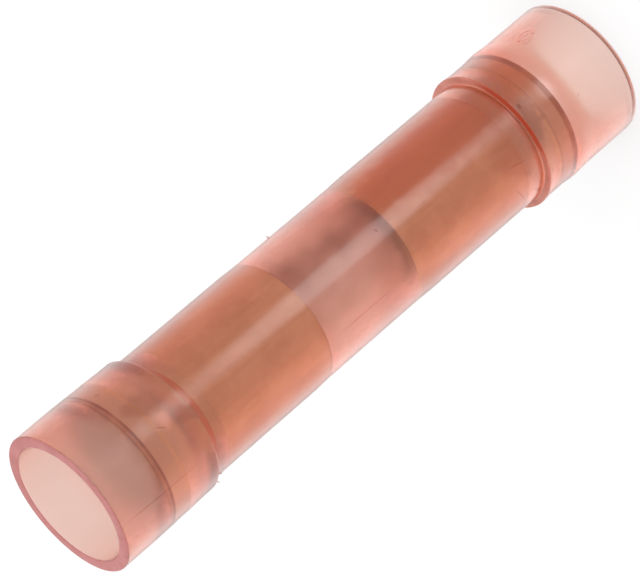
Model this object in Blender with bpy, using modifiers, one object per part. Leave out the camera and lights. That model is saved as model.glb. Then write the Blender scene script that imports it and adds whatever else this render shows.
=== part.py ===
# Butt splice connector: a translucent nylon sleeve over two grip tubes and a crimp barrel.
# It stands on its lower mouth. Units are metres, +Z is up, and the origin is the middle of its foot.

import math

import bpy

# Crimp barrel, sized for the bare wires, with a stop where they meet
BARREL_BORE = 0.0017
BARREL_WALL = 0.000795
BARREL_REACH = 0.0056
BARREL_CHAMFER = 0.00025
STOP_HEIGHT = 0.0003
STOP_LENGTH = 0.0008
STOP_RAMP = 0.0004

# Grip tubes over the barrel's ends, belled towards the mouths
GRIP_WALL = 0.00025
GRIP_SPACING = 0.00455
UPPER_GRIP_REACH = 0.0022
LOWER_GRIP_REACH = 0.00185
BELL_LENGTH = 0.00085
FUNNEL_LENGTH = 0.0016
METAL_EDGE_ROUND = 0.00004

# Nylon sleeve, one moulding with a wider flare at each mouth
SLEEVE_LENGTH = 0.0267
NYLON_WALL = 0.00047
WAIST_DEPTH = 0.000025
WAIST_RAMP = 0.0006
FLARE_STEP = 0.00026
UPPER_FLARE_LENGTH = 0.0044
LOWER_FLARE_LENGTH = 0.0049
UPPER_FLARE_TAPER = 0.00006
LOWER_FLARE_TAPER = 0.00001
UPPER_SWELL_HEIGHT = 0.00002
LOWER_SWELL_HEIGHT = 0.00004
SWELL_LENGTH = 0.0013
RIM_ROUND = 0.00005
SHOULDER_ROUND = 0.00004
SHOULDER_FILLET = 0.00006

# Thin raised edge on the lower flare's shoulder
LIP_HEIGHT = 0.00003
LIP_LENGTH = 0.0003

# Fits, as gaps between radii
GRIP_CLEARANCE = 0.0001
BARREL_CLEARANCE = 0.0001

# Smoothness of the turned shapes
TURN_STEPS = 64
ROUND_STEPS = 2
SWELL_STEPS = 4
MERGE_DISTANCE = 0.000001
SMOOTH_ANGLE = math.radians(30)

# Radii, from the wire outwards: the mouths come out at 5.7 mm and the body at 5.18 mm across
bore_radius = BARREL_BORE / 2
barrel_radius = bore_radius + BARREL_WALL
grip_bore = barrel_radius + BARREL_CLEARANCE
grip_radius = grip_bore + GRIP_WALL
body_bore = grip_radius + GRIP_CLEARANCE
waist_radius = body_bore + NYLON_WALL
body_radius = waist_radius + WAIST_DEPTH
mouth_radius = body_radius + FLARE_STEP
flare_bore = mouth_radius - NYLON_WALL
bell_radius = flare_bore - GRIP_CLEARANCE
bell_bore = bell_radius - GRIP_WALL

# Heights of the pieces' ends: each grip tube reaches past its flare's shoulder towards the mouth
upper_shoulder = SLEEVE_LENGTH - UPPER_FLARE_LENGTH
lower_shoulder = LOWER_FLARE_LENGTH
upper_bell = upper_shoulder + UPPER_GRIP_REACH
lower_bell = lower_shoulder - LOWER_GRIP_REACH
grip_length = (upper_bell - lower_bell - GRIP_SPACING) / 2
upper_grip_foot = upper_bell - grip_length
lower_grip_top = lower_bell + grip_length
barrel_top = upper_grip_foot + BARREL_REACH
barrel_foot = lower_grip_top - BARREL_REACH


def rounded_corner(center, radius, start_degrees, end_degrees):
    """Points of an arc about center, in the profile's radius and height."""
    points = []
    for step in range(ROUND_STEPS + 1):
        angle = math.radians(start_degrees + (end_degrees - start_degrees) * step / ROUND_STEPS)
        points.append((center[0] + radius * math.cos(angle), center[1] + radius * math.sin(angle)))
    return points


def swell(top_radius, foot_radius, middle, height):
    """A low smooth bulge down the outside, where the nylon stretches over a bell's edge."""
    points = []
    for step in range(SWELL_STEPS + 1):
        share = step / SWELL_STEPS
        side = top_radius + (foot_radius - top_radius) * share
        bulge = height * (1 - math.cos(2 * math.pi * share)) / 2
        points.append((side + bulge, middle + SWELL_LENGTH * (0.5 - share)))
    return points


def sleeve_profile():
    """Down the outside from the upper rim to the foot, then up through the bore."""
    upper_shoulder_radius = mouth_radius - UPPER_FLARE_TAPER
    lower_shoulder_radius = mouth_radius - LOWER_FLARE_TAPER
    lip_radius = lower_shoulder_radius + LIP_HEIGHT
    rim_top = SLEEVE_LENGTH - RIM_ROUND

    points = rounded_corner((mouth_radius - RIM_ROUND, rim_top), RIM_ROUND, 90, 0)
    points += swell(mouth_radius, mouth_radius - UPPER_FLARE_TAPER / 2, upper_bell, UPPER_SWELL_HEIGHT)
    points += rounded_corner((upper_shoulder_radius - SHOULDER_ROUND, upper_shoulder + SHOULDER_ROUND),
                             SHOULDER_ROUND, 0, -90)
    points += rounded_corner((body_radius + SHOULDER_FILLET, upper_shoulder - SHOULDER_FILLET),
                             SHOULDER_FILLET, 90, 180)

    points += [(body_radius, upper_grip_foot + WAIST_RAMP),
               (waist_radius, upper_grip_foot),
               (waist_radius, lower_grip_top),
               (body_radius, lower_grip_top - WAIST_RAMP)]

    points += rounded_corner((body_radius + SHOULDER_FILLET, lower_shoulder + SHOULDER_FILLET),
                             SHOULDER_FILLET, 180, 270)
    points += rounded_corner((lip_radius - SHOULDER_ROUND, lower_shoulder - SHOULDER_ROUND),
                             SHOULDER_ROUND, 90, 0)
    points += [(lower_shoulder_radius, lower_shoulder - LIP_LENGTH)]
    points += swell(lower_shoulder_radius, mouth_radius, lower_bell, LOWER_SWELL_HEIGHT)
    points += rounded_corner((mouth_radius - RIM_ROUND, RIM_ROUND), RIM_ROUND, 0, -90)

    points += rounded_corner((flare_bore + RIM_ROUND, RIM_ROUND), RIM_ROUND, 270, 180)
    points += [(flare_bore, lower_bell + BELL_LENGTH),
               (body_bore, lower_bell + BELL_LENGTH + FUNNEL_LENGTH),
               (body_bore, upper_bell - BELL_LENGTH - FUNNEL_LENGTH),
               (flare_bore, upper_bell - BELL_LENGTH)]
    points += rounded_corner((flare_bore + RIM_ROUND, rim_top), RIM_ROUND, 180, 90)
    return points


def grip_profile(bell_end, plain_end):
    """A thin tube from its belled end to its plain end, which lies nearer the middle."""
    inward = math.copysign(1, plain_end - bell_end)
    bell_root = bell_end + inward * BELL_LENGTH
    funnel_root = bell_root + inward * FUNNEL_LENGTH
    bell_edge = bell_end + inward * METAL_EDGE_ROUND
    plain_edge = plain_end - inward * METAL_EDGE_ROUND

    points = rounded_corner((bell_radius - METAL_EDGE_ROUND, bell_edge), METAL_EDGE_ROUND, -90 * inward, 0)
    points += [(bell_radius, bell_root), (grip_radius, funnel_root)]
    points += rounded_corner((grip_radius - METAL_EDGE_ROUND, plain_edge), METAL_EDGE_ROUND, 0, 90 * inward)
    points += rounded_corner((grip_bore + METAL_EDGE_ROUND, plain_edge), METAL_EDGE_ROUND,
                             90 * inward, 180 * inward)
    points += [(grip_bore, funnel_root), (bell_bore, bell_root)]
    points += rounded_corner((bell_bore + METAL_EDGE_ROUND, bell_edge), METAL_EDGE_ROUND,
                             180 * inward, 270 * inward)
    if inward > 0:
        points.reverse()
    return points


def barrel_profile():
    """A thick tube with chamfered ends, whose bore narrows to the wire stop."""
    middle = (barrel_top + barrel_foot) / 2
    stop_radius = bore_radius - STOP_HEIGHT
    stop_half = STOP_LENGTH / 2
    ramp_half = stop_half + STOP_RAMP
    side = barrel_radius - METAL_EDGE_ROUND

    points = rounded_corner((side, barrel_top - METAL_EDGE_ROUND), METAL_EDGE_ROUND, 90, 0)
    points += rounded_corner((side, barrel_foot + METAL_EDGE_ROUND), METAL_EDGE_ROUND, 0, -90)
    points += [(bore_radius + BARREL_CHAMFER, barrel_foot),
               (bore_radius, barrel_foot + BARREL_CHAMFER),
               (bore_radius, middle - ramp_half),
               (stop_radius, middle - stop_half),
               (stop_radius, middle + stop_half),
               (bore_radius, middle + ramp_half),
               (bore_radius, barrel_top - BARREL_CHAMFER),
               (bore_radius + BARREL_CHAMFER, barrel_top)]
    return points


def make_material(name, color, roughness, metallic, transmission=0.0):
    material = bpy.data.materials.new(name)
    material.use_nodes = True
    shader = material.node_tree.nodes["Principled BSDF"]
    shader.inputs["Base Color"].default_value = (*color, 1.0)
    shader.inputs["Roughness"].default_value = roughness
    shader.inputs["Metallic"].default_value = metallic
    shader.inputs["Transmission Weight"].default_value = transmission
    material.diffuse_color = (*color, 1.0)
    return material


def turned_piece(name, profile, material, collection):
    """Turns a closed profile about +Z. The profile lies at +X and runs down its outer side."""
    mesh = bpy.data.meshes.new(name)
    count = len(profile)
    vertices = [(radius, 0.0, height) for radius, height in profile]
    edges = [(index, (index + 1) % count) for index in range(count)]
    mesh.from_pydata(vertices, edges, [])

    piece = bpy.data.objects.new(name, mesh)
    collection.objects.link(piece)
    turn = piece.modifiers.new("Turn", "SCREW")
    turn.axis = "Z"
    turn.angle = math.tau
    turn.steps = TURN_STEPS
    turn.render_steps = TURN_STEPS
    turn.use_merge_vertices = True
    turn.merge_threshold = MERGE_DISTANCE
    turn.use_smooth_shade = True
    mesh.materials.append(material)
    return piece


def shade_round(piece):
    """Applies the turn, so that only its true corners stay sharp."""
    evaluated = piece.evaluated_get(bpy.context.evaluated_depsgraph_get())
    turned = bpy.data.meshes.new_from_object(evaluated)
    piece.modifiers.clear()
    piece.data = turned
    turned.shade_smooth()
    turned.set_sharp_from_angle(angle=SMOOTH_ANGLE)


def build():
    for old in list(bpy.data.objects):
        bpy.data.objects.remove(old, do_unlink=True)

    collection = bpy.data.collections.new("butt_splice_connector")
    bpy.context.scene.collection.children.link(collection)

    nylon = make_material("red_nylon", (0.62, 0.17, 0.10), 0.3, 0.0, 0.8)
    grip_metal = make_material("grip_brass", (0.60, 0.42, 0.27), 0.35, 1.0)
    barrel_metal = make_material("tinned_copper", (0.72, 0.70, 0.67), 0.4, 1.0)

    pieces = [
        turned_piece("insulating_sleeve", sleeve_profile(), nylon, collection),
        turned_piece("upper_grip_tube", grip_profile(upper_bell, upper_grip_foot), grip_metal, collection),
        turned_piece("lower_grip_tube", grip_profile(lower_bell, lower_grip_top), grip_metal, collection),
        turned_piece("crimp_barrel", barrel_profile(), barrel_metal, collection),
    ]
    bpy.context.view_layer.update()
    for piece in pieces:
        shade_round(piece)


build()
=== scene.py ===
import math

import bpy
from mathutils import Matrix, Vector


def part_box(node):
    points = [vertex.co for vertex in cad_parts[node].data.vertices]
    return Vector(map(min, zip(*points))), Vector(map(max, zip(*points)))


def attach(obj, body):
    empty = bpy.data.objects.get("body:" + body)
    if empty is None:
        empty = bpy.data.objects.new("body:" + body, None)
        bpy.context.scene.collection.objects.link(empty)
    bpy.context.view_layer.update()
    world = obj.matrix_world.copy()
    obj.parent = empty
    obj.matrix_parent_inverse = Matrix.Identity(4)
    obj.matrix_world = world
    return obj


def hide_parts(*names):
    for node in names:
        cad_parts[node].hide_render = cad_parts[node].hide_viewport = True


# Butt splice connector: a translucent nylon sleeve over two brass grip tubes and a tinned crimp barrel.
# Metres, +Z up. It stands on its lower mouth, and the camera looks into the upper one.

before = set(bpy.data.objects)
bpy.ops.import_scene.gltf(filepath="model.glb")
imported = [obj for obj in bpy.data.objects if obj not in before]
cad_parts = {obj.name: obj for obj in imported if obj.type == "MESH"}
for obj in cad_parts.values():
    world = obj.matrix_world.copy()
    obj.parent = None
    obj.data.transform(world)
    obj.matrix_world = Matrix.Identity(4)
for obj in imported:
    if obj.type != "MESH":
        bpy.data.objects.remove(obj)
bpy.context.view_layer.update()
print("frame loaded:", ", ".join(sorted(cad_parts)))

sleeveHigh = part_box("insulating_sleeve")[1]
upperGripLow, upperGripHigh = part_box("upper_grip_tube")
lowerGripLow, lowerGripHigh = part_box("lower_grip_tube")
barrelLow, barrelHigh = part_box("crimp_barrel")
smoothAngle = math.radians(35)  # edges sharper than this stay sharp


# Modelling steps that every tube uses

def deselectEverything():
    if bpy.context.mode != "OBJECT":
        bpy.ops.object.mode_set(mode="OBJECT")
    bpy.ops.object.select_all(action="DESELECT")


def cornerArc(center, radius, startAngle, endAngle, steps=6):
    points = []
    for step in range(steps + 1):
        angle = math.radians(startAngle + (endAngle - startAngle) * step / steps)
        points.append((center[0] + radius * math.cos(angle), center[1] + radius * math.sin(angle)))
    return points


def easedRun(start, end, spacing):
    # points from start to end, without either, whose radius changes on a soft S curve
    steps = max(2, round(abs(end[1] - start[1]) / spacing))
    points = []
    for step in range(1, steps):
        share = step / steps
        blend = (1 - math.cos(math.pi * share)) / 2
        points.append((start[0] + (end[0] - start[0]) * blend, start[1] + (end[1] - start[1]) * share))
    return points


def joinedOutline(corners, spacing):
    # corners are points or lists of points, and the stretches between them are eased
    outline = []
    for corner in corners:
        piece = corner if isinstance(corner, list) else [corner]
        if outline:
            outline += easedRun(outline[-1], piece[0], spacing)
        outline += piece
    return outline


def turnTube(name, outline, segments):
    # a circle is extruded ring by ring down the outside and up the bore, and the two open ends are bridged
    deselectEverything()
    radius, height = outline[0]
    bpy.ops.mesh.primitive_circle_add(vertices=segments, radius=radius, location=(0, 0, height))
    tube = bpy.context.active_object
    tube.name = name
    tube.data.name = name
    bpy.ops.object.transform_apply(location=True, rotation=False, scale=False)
    bpy.ops.object.mode_set(mode="EDIT")
    bpy.ops.mesh.select_all(action="SELECT")
    for nextRadius, nextHeight in outline[1:]:
        bpy.ops.mesh.extrude_region_move(TRANSFORM_OT_translate={"value": (0, 0, nextHeight - height)})
        growth = nextRadius / radius
        bpy.ops.transform.resize(value=(growth, growth, 1), center_override=(0, 0, nextHeight))
        radius, height = nextRadius, nextHeight
    bpy.ops.mesh.select_all(action="DESELECT")
    bpy.ops.mesh.select_non_manifold()
    bpy.ops.mesh.bridge_edge_loops()
    bpy.ops.mesh.select_all(action="SELECT")
    bpy.ops.mesh.normals_make_consistent(inside=False)
    bpy.ops.object.mode_set(mode="OBJECT")
    bpy.ops.object.shade_smooth_by_angle(angle=smoothAngle)
    return tube


def softPush(piece, chosen, move, reach):
    # moves the chosen points, and their neighbours within reach less and less
    deselectEverything()
    piece.select_set(True)
    bpy.context.view_layer.objects.active = piece
    bpy.ops.object.mode_set(mode="EDIT")
    bpy.ops.mesh.select_all(action="DESELECT")
    bpy.ops.mesh.select_mode(type="VERT")
    bpy.ops.object.mode_set(mode="OBJECT")
    for index in chosen:
        piece.data.vertices[index].select = True
    bpy.ops.object.mode_set(mode="EDIT")
    bpy.ops.transform.translate(value=move, use_proportional_edit=True,
                                proportional_edit_falloff="SMOOTH", proportional_size=reach)
    bpy.ops.object.mode_set(mode="OBJECT")


def finishPiece(piece, node, material):
    piece.data.materials.clear()
    piece.data.materials.append(material)
    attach(piece, "root")
    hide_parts(node)


# Nodes that the materials are made of

def newGroup(name, inputs, outputs):
    group = bpy.data.node_groups.new(name, "ShaderNodeTree")
    for label, kind, default in inputs:
        socket = group.interface.new_socket(name=label, in_out="INPUT", socket_type=kind)
        socket.default_value = default
    for label, kind in outputs:
        group.interface.new_socket(name=label, in_out="OUTPUT", socket_type=kind)
    return group, group.nodes.new("NodeGroupInput"), group.nodes.new("NodeGroupOutput")


def placeGroup(tree, group, values):
    node = tree.nodes.new("ShaderNodeGroup")
    node.node_tree = group
    for label, value in values.items():
        node.inputs[label].default_value = (*value, 1) if isinstance(value, tuple) else value
    return node.outputs


def millimetres(tree, stretch=(1, 1, 1)):
    # Object coordinates in millimetres, stretched per axis
    place = tree.nodes.new("ShaderNodeTexCoord")
    scaled = tree.nodes.new("ShaderNodeMapping")
    scaled.inputs["Scale"].default_value = [1000 * factor for factor in stretch]
    tree.links.new(place.outputs["Object"], scaled.inputs["Vector"])
    return scaled.outputs["Vector"]


def axisDistance(tree):
    # distance from the tube's axis in millimetres
    length = tree.nodes.new("ShaderNodeVectorMath")
    length.operation = "LENGTH"
    tree.links.new(millimetres(tree, (1, 1, 0)), length.inputs[0])
    return length.outputs["Value"]


def heightUp(tree):
    # height above the floor in millimetres
    split = tree.nodes.new("ShaderNodeSeparateXYZ")
    tree.links.new(millimetres(tree), split.inputs[0])
    return split.outputs["Z"]


def towards(tree, turn):
    # distance from the axis along one direction across it
    along = tree.nodes.new("ShaderNodeVectorMath")
    along.operation = "DOT_PRODUCT"
    tree.links.new(millimetres(tree), along.inputs[0])
    along.inputs[1].default_value = (math.cos(math.radians(turn)), math.sin(math.radians(turn)), 0)
    return along.outputs["Value"]


def unrolled(tree, radius):
    # the tube's surface laid flat, as the distance round it and the height in millimetres
    split = tree.nodes.new("ShaderNodeSeparateXYZ")
    tree.links.new(millimetres(tree), split.inputs[0])
    flat = tree.nodes.new("ShaderNodeCombineXYZ")
    angle = combine(tree, "ARCTAN2", split.outputs["Y"], split.outputs["X"])
    tree.links.new(combine(tree, "MULTIPLY", angle, radius), flat.inputs["X"])
    tree.links.new(split.outputs["Z"], flat.inputs["Y"])
    return flat.outputs[0]


def wandering(tree, flat, scale, amount):
    # the flat surface pushed about by noise, so that a mark on it gets an uneven outline
    noise = tree.nodes.new("ShaderNodeTexNoise")
    tree.links.new(flat, noise.inputs["Vector"])
    noise.inputs["Scale"].default_value = scale
    push = tree.nodes.new("ShaderNodeMapping")
    push.inputs["Location"].default_value = (-amount / 2, -amount / 2, 0)
    push.inputs["Scale"].default_value = (amount, amount, 0)
    tree.links.new(noise.outputs["Color"], push.inputs["Vector"])
    moved = tree.nodes.new("ShaderNodeVectorMath")
    tree.links.new(flat, moved.inputs[0])
    tree.links.new(push.outputs["Vector"], moved.inputs[1])
    return moved.outputs["Vector"]


def ovalMask(tree, flat, mark, radius):
    # 1 in the middle of the mark's oval, falling to 0 at its edge
    placed = tree.nodes.new("ShaderNodeMapping")
    placed.vector_type = "TEXTURE"
    placed.inputs["Location"].default_value = (math.radians(mark["turn"]) * radius, mark["height"], 0)
    placed.inputs["Rotation"].default_value = (0, 0, math.radians(mark["lean"]))
    placed.inputs["Scale"].default_value = (mark["halfLength"], mark["halfWidth"], 1)
    tree.links.new(flat, placed.inputs["Vector"])
    fall = tree.nodes.new("ShaderNodeTexGradient")
    fall.gradient_type = "SPHERICAL"
    tree.links.new(placed.outputs["Vector"], fall.inputs["Vector"])
    return fall.outputs["Fac"]


def connect(tree, value, socket):
    if isinstance(value, tuple):
        socket.default_value = (*value, 1)
    elif isinstance(value, (int, float)):
        socket.default_value = value
    else:
        tree.links.new(value, socket)


def noiseField(tree, vector, scale, detail=2.0, roughness=0.5):
    noise = tree.nodes.new("ShaderNodeTexNoise")
    connect(tree, vector, noise.inputs["Vector"])
    connect(tree, scale, noise.inputs["Scale"])
    connect(tree, detail, noise.inputs["Detail"])
    connect(tree, roughness, noise.inputs["Roughness"])
    return noise.outputs["Fac"]


def rangeOf(tree, value, fromLow, fromHigh, toLow, toHigh, smooth=False):
    mapped = tree.nodes.new("ShaderNodeMapRange")
    if smooth:
        mapped.interpolation_type = "SMOOTHSTEP"
    connect(tree, value, mapped.inputs["Value"])
    connect(tree, fromLow, mapped.inputs["From Min"])
    connect(tree, fromHigh, mapped.inputs["From Max"])
    connect(tree, toLow, mapped.inputs["To Min"])
    connect(tree, toHigh, mapped.inputs["To Max"])
    return mapped.outputs["Result"]


def combine(tree, operation, first, second=0):
    node = tree.nodes.new("ShaderNodeMath")
    node.operation = operation
    connect(tree, first, node.inputs[0])
    connect(tree, second, node.inputs[1])
    return node.outputs[0]


def bandAt(tree, height, middle, halfWidth, fade):
    # 1 within halfWidth of the middle height, and 0 past the fade
    away = combine(tree, "ABSOLUTE", combine(tree, "SUBTRACT", height, middle))
    return rangeOf(tree, away, halfWidth, halfWidth + fade, 1, 0, True)


def strongest(tree, masks):
    result = masks[0]
    for mask in masks[1:]:
        result = combine(tree, "MAXIMUM", result, mask)
    return result


def blendColors(tree, factor, first, second):
    # a Mix node's color sockets are inputs 6 and 7 and output 2
    mix = tree.nodes.new("ShaderNodeMix")
    mix.data_type = "RGBA"
    connect(tree, factor, mix.inputs["Factor"])
    connect(tree, first, mix.inputs[6])
    connect(tree, second, mix.inputs[7])
    return mix.outputs[2]


def bumpFrom(tree, height, strength, distance):
    bump = tree.nodes.new("ShaderNodeBump")
    bump.inputs["Strength"].default_value = strength
    bump.inputs["Distance"].default_value = distance
    tree.links.new(height, bump.inputs["Height"])
    return bump.outputs["Normal"]


def newMaterial(name):
    material = bpy.data.materials.new(name)
    material.use_nodes = True
    tree = material.node_tree
    return material, tree, tree.nodes["Principled BSDF"]


def drawnMetalGroup():
    # fine lines along the tube over soft patches of two tones
    group, given, result = newGroup(
        "drawn metal",
        [("Line Scale", "NodeSocketFloat", 12.0), ("Patch Scale", "NodeSocketFloat", 1.0),
         ("Light", "NodeSocketColor", (1, 1, 1, 1)), ("Dark", "NodeSocketColor", (0.5, 0.5, 0.5, 1))],
        [("Color", "NodeSocketColor"), ("Lines", "NodeSocketFloat"), ("Patches", "NodeSocketFloat")])
    lines = noiseField(group, millimetres(group, (1, 1, 0.04)), given.outputs["Line Scale"], 3.0)
    patches = noiseField(group, millimetres(group), given.outputs["Patch Scale"], 3.0, 0.6)
    mottle = combine(group, "ADD", patches, combine(group, "MULTIPLY", lines, 0.15))
    tone = rangeOf(group, mottle, 0.42, 0.72, 0, 1)
    color = blendColors(group, tone, given.outputs["Light"], given.outputs["Dark"])
    for label, value in (("Color", color), ("Lines", lines), ("Patches", patches)):
        group.links.new(value, result.inputs[label])
    return group


def mouldedGroup():
    # slow waves with a fine grain over them, and milky clouds
    group, given, result = newGroup(
        "moulded nylon",
        [("Wave Scale", "NodeSocketFloat", 1.1), ("Grain Scale", "NodeSocketFloat", 9.0),
         ("Grain Share", "NodeSocketFloat", 0.05)],
        [("Height", "NodeSocketFloat"), ("Cloud", "NodeSocketFloat"), ("Grain", "NodeSocketFloat")])
    stretched = millimetres(group, (1, 1, 0.35))
    waves = noiseField(group, stretched, given.outputs["Wave Scale"], 1.0)
    grain = noiseField(group, millimetres(group, (1, 1, 0.6)), given.outputs["Grain Scale"], 3.0)
    cloud = noiseField(group, stretched, combine(group, "MULTIPLY", given.outputs["Wave Scale"], 0.8), 3.0)
    height = combine(group, "ADD", waves, combine(group, "MULTIPLY", grain, given.outputs["Grain Share"]))
    for label, value in (("Height", height), ("Cloud", cloud), ("Grain", grain)):
        group.links.new(value, result.inputs[label])
    return group


drawnMetal = drawnMetalGroup()
mouldedNylon = mouldedGroup()


# Sizes of the grip tubes, which the sleeve is pressed onto

grip = {
    "segments": 160,
    "ringSpacing": 0.0002,
    "wall": 0.00025,
    "tubeRadius": 0.001995,
    "bellLength": 0.00085,
    "funnelLength": 0.0016,
    "edgeRound": 0.00004,
    "brass": (0.74, 0.68, 0.46),
    "darkBrass": (0.67, 0.57, 0.36),
    # painted reflection: the paler brass of the funnels stands for the bright floor they reflect
    "funnelReflectionBrass": (0.76, 0.72, 0.57),
    "bellBrass": (0.66, 0.61, 0.48),
    "edgeLineColor": (0.32, 0.17, 0.10),
    "bellEndColor": (0.50, 0.34, 0.23),
    "rollWidth": 0.22,
    "rollFade": 0.05,
    "bellFade": 0.1,
    "lineWidth": 0.03,
    "lineFade": 0.04,
    "lowerRollLine": 0.5,
    "lowerRollFade": 0.16,
    "lowerBellLine": 0.35,
    "platedBore": (0.93, 0.86, 0.83),
    "dullBore": (0.86, 0.78, 0.74),
    "swageLength": 0.0003,
    "swageFit": 0.000005,
    "boreRoughness": 0.8,
    "boreUneven": 0.06,
    "bumpStrength": 0.3,
    "bumpDepth": 0.00001,
    "markRadius": 2.2,
    "stainGrain": 1.2,
    "stainWander": 1.1,
}

# patches on the brass: stains, and among them a painted highlight and a painted shade
stainsAndPaintedLight = [
    {"height": 23.39, "turn": -21.7, "lean": 70.0, "halfLength": 0.8, "halfWidth": 0.6,
     "color": (0.42, 0.26, 0.15), "strength": 0.5},
    # painted highlight: a pale patch on the bend of the upper funnel
    {"height": 23.14, "turn": -44.0, "lean": 10.0, "halfLength": 0.4, "halfWidth": 0.24,
     "color": (1.0, 0.92, 0.86), "strength": 0.6},
    # painted shade: a dark patch on the funnel just under the upper shoulder, where little light reaches
    {"height": 22.25, "turn": -48.0, "lean": 60.0, "halfLength": 0.75, "halfWidth": 0.5,
     "color": (0.36, 0.24, 0.18), "strength": 0.4},
    {"height": 7.60, "turn": -9.0, "lean": 90.0, "halfLength": 6.2, "halfWidth": 1.6,
     "color": (0.64, 0.35, 0.15), "strength": 0.95},
    {"height": 5.60, "turn": -58.0, "lean": 0.0, "halfLength": 1.9, "halfWidth": 1.6,
     "color": (0.55, 0.34, 0.20), "strength": 0.45},
    {"height": 4.35, "turn": -52.0, "lean": 0.0, "halfLength": 1.0, "halfWidth": 0.45,
     "color": (0.36, 0.26, 0.21), "strength": 0.5},
]


# Nylon sleeve

sleeve = {
    "segments": 192,
    "ringSpacing": 0.0002,
    "wall": 0.00047,
    "flareStep": 0.00026,
    "waistDepth": 0.000025,
    "waistRamp": 0.0009,
    "lowerGapRamp": 0.0025,
    "upperGapRamp": 0.0006,
    "upperFlare": 0.0044,
    "lowerFlare": 0.0049,
    "upperTaper": 0.00006,
    "lowerTaper": 0.00001,
    "upperSwell": 0.00002,
    "lowerSwell": 0.00004,
    "swellLength": 0.0013,
    "rimRound": 0.00005,
    "shoulderRound": 0.00004,
    "shoulderFillet": 0.00006,
    "lipHeight": 0.00003,
    "lipLength": 0.0003,
    "press": 0.00001,
    "seat": 0.00004,
    "seatRamp": 0.0008,
    "lowerStepStart": 0.0005,
    "lowerStepEnd": 0.0007,
    "upperStepStart": -0.0011,
    "upperStepEnd": 0.0012,
    "nearSag": 0.00014,
    "sagTurn": -50.0,
    "sagReach": 0.005,
    "absorbColor": (0.911, 0.348, 0.148),
    "absorbDensity": 1350.0,
    "bendsLight": 1.53,
    "clearTint": (0.95, 0.94, 0.93),
    "milkyTint": (0.92, 0.90, 0.89),
    # painted shade for the corner above the lower shoulder
    "cornerShadeTint": (1.0, 0.5, 0.42),
    "cornerRise": 0.15,
    "cornerHalf": 0.09,
    "cornerFade": 0.075,
    "flareTint": (0.98, 0.94, 0.88),
    "flareTintZone": (2.7, 3.1),
    "footTint": (0.84, 0.86, 0.86),
    "footTintZone": (0.6, 2.6),
    "scratchTint": (0.66, 0.42, 0.36),
    "speckTint": (0.45, 0.28, 0.2),
    "gateTint": (0.97, 0.80, 0.77),
    "rimColor": (0.43, 0.122, 0.112),
    "rimShade": (0.37, 0.098, 0.09),
    "shoulderRed": (0.62, 0.22, 0.155),
    "shoulderShade": (0.50, 0.15, 0.10),
    # painted shade: the deep red on one side of the lower shoulder
    "paintedShoulderShade": (0.42, 0.055, 0.02),
    "shadeTurn": -42.0,
    "shadeZone": (1.9, 2.5),
    # painted shade: the deep red ring under the upper shoulder
    "ringShadeTint": (0.85, 0.26, 0.17),
    "ringTurn": -50.0,
    "ringHeight": 21.95,
    "ringHalf": 0.1,
    "ringFade": 0.05,
    "ringRise": 0.65,
    "ringEnds": (0.55, 0.85),
    "footRim": (0.62, 0.36, 0.37),
    "footZone": (0.5, 1.0),
    "shoulderZone": (6.0, 7.0),
    "outerZone": (2.42, 2.50),
    "clearShare": 1.0,
    "markRadius": 2.6,
    "scratchDepth": 0.8,
    "gateRise": 1.6,
    "outerRoughness": 0.2,
    "boreRoughness": 0.36,
    "unevenGloss": 0.02,
    "bumpStrength": 0.12,
    "bumpDepth": 0.00003,
    "rimBumpStrength": 0.4,
    "rimBumpDepth": 0.00001,
}

# heights and half sizes in millimetres, turns and leans in degrees; a lean of 90 runs along the tube
scratches = [
    {"height": 14.30, "turn": -84.3, "lean": 90.0, "halfLength": 1.80, "halfWidth": 0.035},
    {"height": 24.80, "turn": -83.4, "lean": 88.0, "halfLength": 2.40, "halfWidth": 0.030},
    {"height": 5.97, "turn": -72.8, "lean": 79.4, "halfLength": 0.53, "halfWidth": 0.04},
    {"height": 6.19, "turn": -100.8, "lean": 27.1, "halfLength": 0.65, "halfWidth": 0.04},
    {"height": 23.54, "turn": -46.0, "lean": 60.0, "halfLength": 0.28, "halfWidth": 0.05},
]
specks = [
    {"height": 24.07, "turn": 4.6, "lean": 70.0, "halfLength": 0.16, "halfWidth": 0.12, "strength": 0.5},
    {"height": 4.67, "turn": -38.2, "lean": 0.0, "halfLength": 0.12, "halfWidth": 0.08, "strength": 1.0},
    {"height": 12.26, "turn": -38.6, "lean": 20.0, "halfLength": 0.10, "halfWidth": 0.06, "strength": 0.8},
    {"height": 2.42, "turn": -60.2, "lean": 0.0, "halfLength": 0.08, "halfWidth": 0.06, "strength": 0.4},
    {"height": 5.66, "turn": -87.0, "lean": 45.0, "halfLength": 0.22, "halfWidth": 0.16, "strength": 0.35},
]
gateMark = {"height": 1.90, "turn": 5.0, "lean": 90.0, "halfLength": 0.52, "halfWidth": 0.30}


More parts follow.
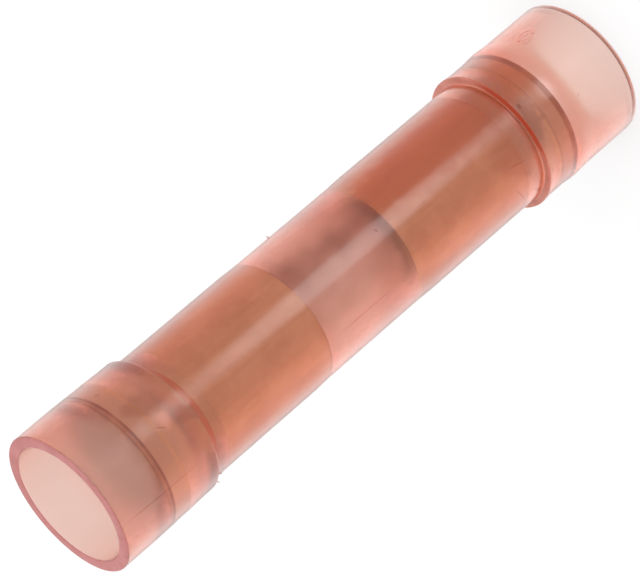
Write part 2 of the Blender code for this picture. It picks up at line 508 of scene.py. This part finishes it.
def sleeveOutline(size):
    top = sleeveHigh.z
    mouth = sleeveHigh.x + size["lowerTaper"] / 2 - size["lowerSwell"]
    body = mouth - size["flareStep"]
    waist = body - size["waistDepth"]
    flareBore = mouth - size["wall"]
    bellBore = upperGripHigh.x - size["press"]
    bodyBore = grip["tubeRadius"] - size["press"]
    gapBore = waist - size["wall"]
    rim, corner, fillet = size["rimRound"], size["shoulderRound"], size["shoulderFillet"]
    upperShoulder, lowerShoulder = top - size["upperFlare"], size["lowerFlare"]
    upperSide, lowerSide = mouth - size["upperTaper"], mouth - size["lowerTaper"]
    lip = lowerSide + size["lipHeight"]
    halfSwell = size["swellLength"] / 2
    corners = [
        cornerArc((mouth - rim, top - rim), rim, 90, 0),
        (mouth, upperGripHigh.z + halfSwell),
        (mouth - size["upperTaper"] / 2 + size["upperSwell"], upperGripHigh.z),
        (mouth - size["upperTaper"] / 2, upperGripHigh.z - halfSwell),
        cornerArc((upperSide - corner, upperShoulder + corner), corner, 0, -90),
        cornerArc((body + fillet, upperShoulder - fillet), fillet, 90, 180),
        (body, upperGripLow.z + size["waistRamp"]),
        (waist, upperGripLow.z),
        (waist, lowerGripHigh.z),
        (body, lowerGripHigh.z - size["waistRamp"]),
        cornerArc((body + fillet, lowerShoulder + fillet), fillet, 180, 270),
        cornerArc((lip - corner, lowerShoulder - corner), corner, 90, 0),
        (lowerSide, lowerShoulder - size["lipLength"]),
        (lowerSide, lowerGripLow.z + halfSwell),
        (mouth - size["lowerTaper"] / 2 + size["lowerSwell"], lowerGripLow.z),
        (mouth, lowerGripLow.z - halfSwell),
        cornerArc((mouth - rim, rim), rim, 0, -90),
        cornerArc((flareBore + rim, rim), rim, 270, 180),
        (flareBore, lowerGripLow.z - size["seatRamp"]),
        (bellBore, lowerGripLow.z + size["seat"]),
        (bellBore, lowerShoulder - size["lowerStepStart"]),
        (bodyBore, lowerShoulder + size["lowerStepEnd"]),
        (bodyBore, lowerGripHigh.z),
        (gapBore, lowerGripHigh.z + size["lowerGapRamp"]),
        (gapBore, upperGripLow.z - size["upperGapRamp"]),
        (bodyBore, upperGripLow.z),
        (bodyBore, upperShoulder - size["upperStepEnd"]),
        (bellBore, upperShoulder - size["upperStepStart"]),
        (bellBore, upperGripHigh.z - size["seat"]),
        (flareBore, upperGripHigh.z + size["seatRamp"]),
        cornerArc((flareBore + rim, top - rim), rim, 180, 90),
    ]
    return joinedOutline(corners, size["ringSpacing"])


def redNylon(size):
    material, tree, shader = newMaterial("red nylon")
    body = (sleeveHigh.x - size["lowerSwell"] - size["flareStep"]) * 1000
    surface = placeGroup(tree, mouldedNylon, {"Wave Scale": 1.1, "Grain Scale": 9.0, "Grain Share": 0.01})
    cloud = rangeOf(tree, surface["Cloud"], 0.3, 0.7, 0, 1)
    tint = blendColors(tree, cloud, size["milkyTint"], size["clearTint"])
    # painted shade: the nylon is tinted redder and darker just above the lower shoulder, in the corner where
    # shade falls
    height = heightUp(tree)
    lowerCorner = size["lowerFlare"] * 1000 + size["cornerRise"]
    patchy = rangeOf(tree, surface["Cloud"], 0.35, 0.6, 0.6, 1)
    corner = bandAt(tree, height, lowerCorner, size["cornerHalf"], size["cornerFade"])
    tint = blendColors(tree, combine(tree, "MULTIPLY", corner, patchy), tint, size["cornerShadeTint"])
    # painted shade: a deep red ring is painted under the upper shoulder, where the flare shades the body, and
    # it sits lowest where the shoulder hangs lowest
    facing = rangeOf(tree, towards(tree, size["ringTurn"]), 0, body, 0, 1)
    lift = combine(tree, "MULTIPLY", combine(tree, "SUBTRACT", 1, facing), size["ringRise"])
    ringPlace = combine(tree, "SUBTRACT", height, lift)
    ring = bandAt(tree, ringPlace, size["ringHeight"], size["ringHalf"], size["ringFade"])
    ring = combine(tree, "MULTIPLY", ring, rangeOf(tree, facing, *size["ringEnds"], 0, 1))
    tint = blendColors(tree, combine(tree, "MULTIPLY", ring, patchy), tint, size["ringShadeTint"])
    # the lower flare is a little yellower, and greyer towards its foot
    tint = blendColors(tree, rangeOf(tree, height, *size["flareTintZone"], 1, 0), tint, size["flareTint"])
    tint = blendColors(tree, rangeOf(tree, height, *size["footTintZone"], 1, 0), tint, size["footTint"])
    # marks, on the outside only
    radius = size["markRadius"]
    flat = unrolled(tree, radius)
    outside = rangeOf(tree, axisDistance(tree), *size["outerZone"], 0, 1)
    lines = strongest(tree, [rangeOf(tree, ovalMask(tree, flat, mark, radius), 0, 0.6, 0, 1)
                             for mark in scratches])
    lines = combine(tree, "MULTIPLY", lines, outside)
    spots = strongest(tree, [rangeOf(tree, ovalMask(tree, flat, mark, radius), 0, 0.5, 0, mark["strength"])
                             for mark in specks])
    spots = combine(tree, "MULTIPLY", spots, outside)
    gate = bandAt(tree, ovalMask(tree, flat, gateMark, radius), 0.35, 0.08, 0.2)
    tint = blendColors(tree, lines, tint, size["scratchTint"])
    tint = blendColors(tree, spots, tint, size["speckTint"])
    tint = blendColors(tree, combine(tree, "MULTIPLY", gate, outside), tint, size["gateTint"])
    tint = blendColors(tree, outside, (1, 1, 1), tint)
    tree.links.new(tint, shader.inputs["Base Color"])
    cut = combine(tree, "MULTIPLY", lines, size["scratchDepth"])
    relief = combine(tree, "SUBTRACT", surface["Height"], cut)
    relief = combine(tree, "ADD", relief, combine(tree, "MULTIPLY", gate, size["gateRise"]))
    uneven = rangeOf(tree, surface["Grain"], 0.3, 0.7, -size["unevenGloss"], size["unevenGloss"])
    gloss = rangeOf(tree, outside, 0, 1, size["boreRoughness"], size["outerRoughness"])
    tree.links.new(combine(tree, "ADD", gloss, uneven), shader.inputs["Roughness"])
    tree.links.new(bumpFrom(tree, relief, size["bumpStrength"], size["bumpDepth"]), shader.inputs["Normal"])
    shader.inputs["IOR"].default_value = size["bendsLight"]
    shader.inputs["Transmission Weight"].default_value = size["clearShare"]
    absorb = tree.nodes.new("ShaderNodeVolumeAbsorption")
    absorb.inputs["Color"].default_value = (*size["absorbColor"], 1)
    absorb.inputs["Density"].default_value = size["absorbDensity"]
    tree.links.new(absorb.outputs[0], tree.nodes["Material Output"].inputs["Volume"])
    return material


def mouldedEdge(size):
    # light that the wall carries comes out at its ends, so these faces look solid
    material, tree, shader = newMaterial("nylon rim")
    surface = placeGroup(tree, mouldedNylon, {"Wave Scale": 2.5, "Grain Scale": 14.0, "Grain Share": 0.3})
    tone = rangeOf(tree, surface["Cloud"], 0.3, 0.7, 0, 1)
    color = blendColors(tree, tone, size["rimColor"], size["rimShade"])
    # the color changes down from the upper rim to the lower shoulder, and at the foot; on one side the lower
    # shoulder is painted deep red, as painted shade in its corner
    height = heightUp(tree)
    shoulder = blendColors(tree, tone, size["shoulderRed"], size["shoulderShade"])
    shadedSide = rangeOf(tree, towards(tree, size["shadeTurn"]), *size["shadeZone"], 0, 1, True)
    shoulder = blendColors(tree, shadedSide, shoulder, size["paintedShoulderShade"])
    color = blendColors(tree, rangeOf(tree, height, *size["shoulderZone"], 1, 0), color, shoulder)
    color = blendColors(tree, rangeOf(tree, height, *size["footZone"], 1, 0), color, size["footRim"])
    tree.links.new(color, shader.inputs["Base Color"])
    tree.links.new(rangeOf(tree, tone, 0, 1, 0.4, 0.5), shader.inputs["Roughness"])
    relief = bumpFrom(tree, surface["Height"], size["rimBumpStrength"], size["rimBumpDepth"])
    tree.links.new(relief, shader.inputs["Normal"])
    shader.inputs["IOR"].default_value = size["bendsLight"]
    return material


nylonSleeve = turnTube("nylonSleeve", sleeveOutline(sleeve), sleeve["segments"])
finishPiece(nylonSleeve, "insulating_sleeve", redNylon(sleeve))
nylonSleeve.data.materials.append(mouldedEdge(sleeve))

# the solid faces are the upper rim, the lower shoulder and the outer edge of the foot
wallEnds = (sleeve["lowerFlare"], sleeveHigh.z)
rimRound = sleeve["rimRound"]
levelNormal = 0.7
for face in nylonSleeve.data.polygons:
    fromEnd = min(abs(face.center.z - end) for end in wallEnds)
    atEnd = fromEnd < rimRound / 3 and abs(face.normal.z) > levelNormal
    atFoot = face.center.z < rimRound * 0.7 and face.center.xy.length > sleeveHigh.x - rimRound * 1.6
    if atEnd or atFoot:
        face.material_index = 1

# the upper shoulder hangs a little lower on one side, pulled by its points that face that way
shoulderHeight = sleeveHigh.z - sleeve["upperFlare"]
sagTurn = math.radians(sleeve["sagTurn"])
sagDirection = Vector((math.cos(sagTurn), math.sin(sagTurn)))
shoulderReach = sleeve["shoulderFillet"] + 0.00001
facingShare = 0.999
lowest = [vertex.index for vertex in nylonSleeve.data.vertices
          if abs(vertex.co.z - shoulderHeight) < shoulderReach
          and vertex.co.xy.dot(sagDirection) > facingShare * vertex.co.xy.length]
softPush(nylonSleeve, lowest, (0, 0, -sleeve["nearSag"]), sleeve["sagReach"])
print("upper shoulder sagged at", len(lowest), "points")

# thin threads of flash stand out near the shoulders and on the body, in millimetres and degrees
threadSizes = [
    {"height": 22.14, "turn": -127.4, "rise": -12.0, "length": 0.26, "root": 0.035},
    {"height": 22.02, "turn": -121.0, "rise": -40.0, "length": 0.17, "root": 0.030},
    {"height": 14.43, "turn": 41.0, "rise": 15.0, "length": 0.12, "root": 0.025},
    {"height": 5.12, "turn": -113.3, "rise": 50.0, "length": 0.20, "root": 0.030},
    {"height": 5.06, "turn": -105.0, "rise": 62.0, "length": 0.14, "root": 0.025},
]


def addThread(size, waist, material):
    turn, rise = math.radians(size["turn"]), math.radians(size["rise"])
    outward = Vector((math.cos(turn), math.sin(turn), 0))
    along = outward * math.cos(rise) + Vector((0, 0, math.sin(rise)))
    length, root = size["length"] / 1000, size["root"] / 1000
    middle = outward * waist + Vector((0, 0, size["height"] / 1000)) + along * length / 2
    deselectEverything()
    bpy.ops.mesh.primitive_cone_add(vertices=10, radius1=root, radius2=root / 5, depth=length,
                                    location=middle, rotation=along.to_track_quat("Z", "Y").to_euler())
    thread = bpy.context.active_object
    thread.data.materials.append(material)
    bpy.ops.object.shade_smooth_by_angle(angle=smoothAngle)
    return thread


bodyRadius = sleeveHigh.x + sleeve["lowerTaper"] / 2 - sleeve["lowerSwell"] - sleeve["flareStep"]
threadRoot = bodyRadius - sleeve["waistDepth"]
threads = [addThread(size, threadRoot, nylonSleeve.data.materials[1]) for size in threadSizes]
deselectEverything()
for thread in threads:
    thread.select_set(True)
nylonSleeve.select_set(True)
bpy.context.view_layer.objects.active = nylonSleeve
bpy.ops.object.join()
print("nylon sleeve turned:", len(nylonSleeve.data.polygons), "faces")


# Crimp barrel

barrel = {
    "segments": 128,
    "ringSpacing": 0.0005,
    "bore": 0.00085,
    "chamfer": 0.00025,
    "edgeRound": 0.00004,
    "stopHeight": 0.0003,
    "stopHalf": 0.0004,
    "stopRamp": 0.0004,
    "tin": (0.99, 0.97, 0.94),
    "dullTin": (0.93, 0.89, 0.84),
    # painted shade colour, with the lit side and the shade near the lower grip tube set below
    "paintedShade": (0.50, 0.27, 0.17),
    "litSideTurn": -125.0,
    "litSideZone": (-0.25, 0.8),
    "lowShade": 0.55,
    "lowShadeReach": 2.2,
    "satin": 0.7,
    "bumpStrength": 0.3,
    "bumpDepth": 0.00001,
}


def barrelOutline(size):
    side = barrelHigh.x - size["edgeRound"]
    top, foot = barrelHigh.z, barrelLow.z
    middle = (top + foot) / 2
    rampHalf = size["stopHalf"] + size["stopRamp"]
    stop = size["bore"] - size["stopHeight"]
    corners = [
        cornerArc((side, top - size["edgeRound"]), size["edgeRound"], 90, 0, 4),
        cornerArc((side, foot + size["edgeRound"]), size["edgeRound"], 0, -90, 4),
        (size["bore"] + size["chamfer"], foot),
        (size["bore"], foot + size["chamfer"]),
        (size["bore"], middle - rampHalf),
        (stop, middle - size["stopHalf"]),
        (stop, middle + size["stopHalf"]),
        (size["bore"], middle + rampHalf),
        (size["bore"], top - size["chamfer"]),
        (size["bore"] + size["chamfer"], top),
    ]
    return joinedOutline(corners, size["ringSpacing"])


def tinnedCopper(size):
    material, tree, shader = newMaterial("tinned copper")
    finish = placeGroup(tree, drawnMetal, {"Line Scale": 10.0, "Patch Scale": 1.4,
                                           "Light": size["tin"], "Dark": size["dullTin"]})
    # painted light and shade: the tin is painted bright on the side that faces the bright studio, and painted
    # darker as shade on the other side and towards the lower grip tube
    bright = rangeOf(tree, towards(tree, size["litSideTurn"]), *size["litSideZone"], 0, 1, True)
    gripTop = lowerGripHigh.z * 1000
    reach = gripTop + size["lowShadeReach"]
    low = rangeOf(tree, heightUp(tree), gripTop, reach, size["lowShade"], 0, True)
    litShare = combine(tree, "MULTIPLY", bright, combine(tree, "SUBTRACT", 1, low))
    paintedShade = combine(tree, "SUBTRACT", 1, litShare)
    paintedShade = combine(tree, "MULTIPLY", paintedShade, rangeOf(tree, finish["Patches"], 0.3, 0.7, 0.5, 0.8))
    tree.links.new(blendColors(tree, paintedShade, finish["Color"], size["paintedShade"]), shader.inputs["Base Color"])
    tree.links.new(rangeOf(tree, finish["Patches"], 0.3, 0.7, 0.5, 0.62), shader.inputs["Roughness"])
    relief = bumpFrom(tree, finish["Lines"], size["bumpStrength"], size["bumpDepth"])
    tree.links.new(relief, shader.inputs["Normal"])
    tree.links.new(rangeOf(tree, litShare, 0, 1, 1, size["satin"]), shader.inputs["Metallic"])
    return material


crimpBarrel = turnTube("crimpBarrel", barrelOutline(barrel), barrel["segments"])
finishPiece(crimpBarrel, "crimp_barrel", tinnedCopper(barrel))
print("crimp barrel turned:", len(crimpBarrel.data.polygons), "faces")


# Grip tubes

def gripOutline(size, bellEnd, plainEnd, bellRadius):
    inward = math.copysign(1, plainEnd - bellEnd)
    bellRoot = bellEnd + inward * size["bellLength"]
    funnelRoot = bellRoot + inward * size["funnelLength"]
    edge = size["edgeRound"]
    bore, bellBore = size["tubeRadius"] - size["wall"], bellRadius - size["wall"]
    swaged = barrelHigh.x + size["swageFit"]
    bellEdge, plainEdge = bellEnd + inward * edge, plainEnd - inward * edge
    corners = [
        cornerArc((bellRadius - edge, bellEdge), edge, -90 * inward, 0, 4),
        (bellRadius, bellRoot),
        (size["tubeRadius"], funnelRoot),
        cornerArc((size["tubeRadius"] - edge, plainEdge), edge, 0, 90 * inward, 4),
        cornerArc((swaged + edge, plainEdge), edge, 90 * inward, 180 * inward, 4),
        (swaged, plainEnd - inward * size["swageLength"]),
        (bore, plainEnd - inward * size["swageLength"] * 2),
        (bore, funnelRoot),
        (bellBore, bellRoot),
        cornerArc((bellBore + edge, bellEdge), edge, 180 * inward, 270 * inward, 4),
    ]
    return joinedOutline(corners, size["ringSpacing"])


def drawnBrass(size):
    material, tree, shader = newMaterial("drawn brass")
    finish = placeGroup(tree, drawnMetal, {"Line Scale": 12.0, "Patch Scale": 0.9,
                                           "Light": size["brass"], "Dark": size["darkBrass"]})
    # each bell end is painted darker, and its funnel is painted paler, as a painted reflection of the bright
    # floor below
    height = heightUp(tree)
    roll, bell, funnel = size["rollWidth"], size["bellLength"] * 1000, size["funnelLength"] * 1000
    upperEnd, lowerEnd = upperGripHigh.z * 1000, lowerGripLow.z * 1000
    rolls, funnelReflections, bells = [], [], []
    for bellEnd, inward in ((upperEnd, -1), (lowerEnd, 1)):
        rolls.append(bandAt(tree, height, bellEnd + inward * roll / 2, roll / 2, size["rollFade"]))
        bells.append(bandAt(tree, height, bellEnd, bell, size["bellFade"]))
        funnelMiddle = bellEnd + inward * (bell + funnel / 2)
        funnelReflections.append(bandAt(tree, height, funnelMiddle, funnel * 0.25, funnel * 0.3))
    # two dark lines border the upper roll, and the lower bell has two fainter ones
    line, fade = size["lineWidth"], size["lineFade"]
    rollLine = bandAt(tree, height, lowerEnd + roll / 2, roll / 3, size["lowerRollFade"])
    bellLine = bandAt(tree, height, lowerEnd + bell, line, fade)
    lines = [bandAt(tree, height, upperEnd, line, fade),
             bandAt(tree, height, upperEnd - roll, line, fade),
             combine(tree, "MULTIPLY", rollLine, size["lowerRollLine"]),
             combine(tree, "MULTIPLY", bellLine, size["lowerBellLine"])]
    uneven = rangeOf(tree, finish["Patches"], 0.4, 0.6, 0.5, 1)
    color = blendColors(tree, strongest(tree, bells), finish["Color"], size["bellBrass"])
    color = blendColors(tree, strongest(tree, funnelReflections), color, size["funnelReflectionBrass"])
    radius = size["markRadius"]
    flat = wandering(tree, unrolled(tree, radius), size["stainGrain"], size["stainWander"])
    # stains, a painted highlight and a painted shade are blended into the brass
    for brassPatch in stainsAndPaintedLight:
        soft = rangeOf(tree, ovalMask(tree, flat, brassPatch, radius), 0, 0.45, 0, brassPatch["strength"], True)
        color = blendColors(tree, soft, color, brassPatch["color"])
    rollMask = combine(tree, "MULTIPLY", strongest(tree, rolls), uneven)
    color = blendColors(tree, rollMask, color, size["bellEndColor"])
    lineMask = combine(tree, "MULTIPLY", strongest(tree, lines), uneven)
    color = blendColors(tree, lineMask, color, size["edgeLineColor"])
    tree.links.new(color, shader.inputs["Base Color"])
    tree.links.new(rangeOf(tree, finish["Lines"], 0.3, 0.7, 0.3, 0.45), shader.inputs["Roughness"])
    relief = bumpFrom(tree, finish["Lines"], size["bumpStrength"], size["bumpDepth"])
    tree.links.new(relief, shader.inputs["Normal"])
    shader.inputs["Metallic"].default_value = 1.0
    return material


def platedBore(size):
    material, tree, shader = newMaterial("plated bore")
    finish = placeGroup(tree, drawnMetal, {"Line Scale": 8.0, "Patch Scale": 1.6,
                                           "Light": size["platedBore"], "Dark": size["dullBore"]})
    tree.links.new(finish["Color"], shader.inputs["Base Color"])
    rough, uneven = size["boreRoughness"], size["boreUneven"]
    gloss = rangeOf(tree, finish["Patches"], 0.3, 0.7, rough - uneven, rough + uneven)
    tree.links.new(gloss, shader.inputs["Roughness"])
    relief = bumpFrom(tree, finish["Lines"], size["bumpStrength"], size["bumpDepth"])
    tree.links.new(relief, shader.inputs["Normal"])
    shader.inputs["Metallic"].default_value = 1.0
    return material


brassFinish = drawnBrass(grip)
boreFinish = platedBore(grip)
for name, node, bellEnd, plainEnd, bellRadius in (
        ("upperGripTube", "upper_grip_tube", upperGripHigh.z, upperGripLow.z, upperGripHigh.x),
        ("lowerGripTube", "lower_grip_tube", lowerGripLow.z, lowerGripHigh.z, lowerGripHigh.x)):
    tube = turnTube(name, gripOutline(grip, bellEnd, plainEnd, bellRadius), grip["segments"])
    finishPiece(tube, node, brassFinish)
    tube.data.materials.append(boreFinish)
    for face in tube.data.polygons:
        if face.normal.xy.dot(face.center.xy) < -0.5 * face.center.xy.length:
            face.material_index = 1  # the bore
    print(name, "turned:", len(tube.data.polygons), "faces")


# Floor, world, lamps and camera

studio = {
    "floorSize": 1.2,
    "floorDrop": 0.00002,
    "floorColor": (0.9, 0.9, 0.9),
    "white": 1.0,
    "shadowShare": 0.35,
    "backLobe": ((-0.839, 0.545, 0.0), -0.15, 0.2),  # direction, and where its glow starts and is full
    "panelLobe": ((-0.866, -0.5, 0.0), 0.55, 0.85),
    "lowLobe": ((-0.25, 0.25, -0.935), 0.42, 0.62),
    "ringLobe": ((-0.628, 0.628, -0.459), 0.5, 0.72),
    "spotLobe": ((-0.628, 0.628, -0.459), 0.84, 0.97),
    "dimLight": 0.92,
    "backLight": 1.2,
    "panelLight": 0.3,
    "lowLight": 0.5,
    "ringLight": 0.1,
    "spotLight": -0.86,
    "cameraAzimuth": 45.0,
    "cameraElevation": 27.35,
    "cameraRoll": -130.6,
    "lens": 201.3,
    "mouthFromLens": (-0.00849, 0.00718, 0.12059),  # how far right, below and ahead the upper mouth is
}

lamps = [
    {"name": "lowSoftbox", "turn": 10.5, "rise": -27.5, "away": 0.08, "middle": 0.014,
     "wide": 0.04, "tall": 0.0225, "power": 0.0078},
    {"name": "topSoftbox", "turn": 30.0, "rise": 60.0, "away": 0.25, "middle": 0.01335,
     "wide": 0.18, "tall": 0.18, "power": 0.18},
]


def cameraSees(tree):
    return tree.nodes.new("ShaderNodeLightPath").outputs["Is Camera Ray"]


def paleFloor():
    deselectEverything()
    bpy.ops.mesh.primitive_plane_add(size=studio["floorSize"], location=(0, 0, -studio["floorDrop"]))
    floor = bpy.context.active_object
    floor.name = "floor"
    floor.visible_shadow = False
    floor.visible_glossy = False
    floor.visible_transmission = False
    material = bpy.data.materials.new("pale floor")
    material.use_nodes = True
    tree = material.node_tree
    tree.nodes.clear()
    output = tree.nodes.new("ShaderNodeOutputMaterial")
    matte = tree.nodes.new("ShaderNodeBsdfDiffuse")
    matte.inputs["Color"].default_value = (*studio["floorColor"], 1)
    glow = tree.nodes.new("ShaderNodeEmission")
    glow.inputs["Strength"].default_value = studio["white"]
    mix = tree.nodes.new("ShaderNodeMixShader")
    tree.links.new(combine(tree, "MULTIPLY", cameraSees(tree), 1 - studio["shadowShare"]), mix.inputs[0])
    tree.links.new(matte.outputs[0], mix.inputs[1])
    tree.links.new(glow.outputs[0], mix.inputs[2])
    tree.links.new(mix.outputs[0], output.inputs["Surface"])
    floor.data.materials.append(material)


def paleWorld():
    # white for the camera, and a soft gradient across the studio for everything else
    world = bpy.data.worlds.new("studio")
    bpy.context.scene.world = world
    world.use_nodes = True
    tree = world.node_tree
    place = tree.nodes.new("ShaderNodeTexCoord")

    def glow(side, low, high, dim, bright):
        facing = tree.nodes.new("ShaderNodeVectorMath")
        facing.operation = "DOT_PRODUCT"
        facing.inputs[1].default_value = side
        tree.links.new(place.outputs["Generated"], facing.inputs[0])
        return rangeOf(tree, facing.outputs["Value"], low, high, dim, bright, True)

    # brighter at the back, with softer lobes added, and a dark one behind the connector as the camera sees it
    gradient = glow(*studio["backLobe"], studio["dimLight"], studio["backLight"])
    for lobe, light in (("panelLobe", "panelLight"), ("lowLobe", "lowLight"),
                        ("ringLobe", "ringLight"), ("spotLobe", "spotLight")):
        gradient = combine(tree, "ADD", gradient, glow(*studio[lobe], 0, studio[light]))
    seen = cameraSees(tree)
    hidden = combine(tree, "MULTIPLY", gradient, combine(tree, "SUBTRACT", 1, seen))
    shown = combine(tree, "MULTIPLY", seen, studio["white"])
    tree.links.new(combine(tree, "ADD", hidden, shown), tree.nodes["Background"].inputs["Strength"])
    tree.nodes["Background"].inputs["Color"].default_value = (1, 1, 1, 1)


def addLamp(lamp):
    turn = math.radians(studio["cameraAzimuth"] + lamp["turn"])
    rise = math.radians(lamp["rise"])
    middle = Vector((0, 0, lamp["middle"]))
    toLamp = Vector((math.sin(turn) * math.cos(rise), -math.cos(turn) * math.cos(rise), math.sin(rise)))
    data = bpy.data.lights.new(lamp["name"], "AREA")
    data.shape = "ELLIPSE"
    data.size = lamp["wide"]
    data.size_y = lamp["tall"]
    data.energy = lamp["power"]
    light = bpy.data.objects.new(lamp["name"], data)
    bpy.context.scene.collection.objects.link(light)
    light.visible_transmission = False
    light.location = middle + toLamp * lamp["away"]
    light.rotation_euler = toLamp.to_track_quat("Z", "Y").to_euler()


def photoCamera():
    turn = math.radians(studio["cameraAzimuth"])
    rise = math.radians(studio["cameraElevation"])
    roll = math.radians(studio["cameraRoll"])
    ahead = Vector((-math.sin(turn) * math.cos(rise), math.cos(turn) * math.cos(rise), -math.sin(rise)))
    level = Vector((math.cos(turn), math.sin(turn), 0))
    upright = level.cross(ahead)
    right = level * math.cos(roll) + upright * math.sin(roll)
    up = upright * math.cos(roll) - level * math.sin(roll)
    offset = studio["mouthFromLens"]
    mouth = Vector((0, 0, sleeveHigh.z))
    data = bpy.data.cameras.new("camera")
    data.lens = studio["lens"]
    data.sensor_width = 36.0
    data.clip_start = 0.01
    data.clip_end = 10.0
    camera = bpy.data.objects.new("camera", data)
    bpy.context.scene.collection.objects.link(camera)
    place = mouth - right * offset[0] + up * offset[1] - ahead * offset[2]
    camera.matrix_world = Matrix((
        (right.x, up.x, -ahead.x, place.x),
        (right.y, up.y, -ahead.y, place.y),
        (right.z, up.z, -ahead.z, place.z),
        (0, 0, 0, 1),
    ))
    bpy.context.scene.camera = camera


paleFloor()
paleWorld()
for lamp in lamps:
    addLamp(lamp)
photoCamera()
bpy.context.scene.view_settings.view_transform = "Standard"
print("studio set")
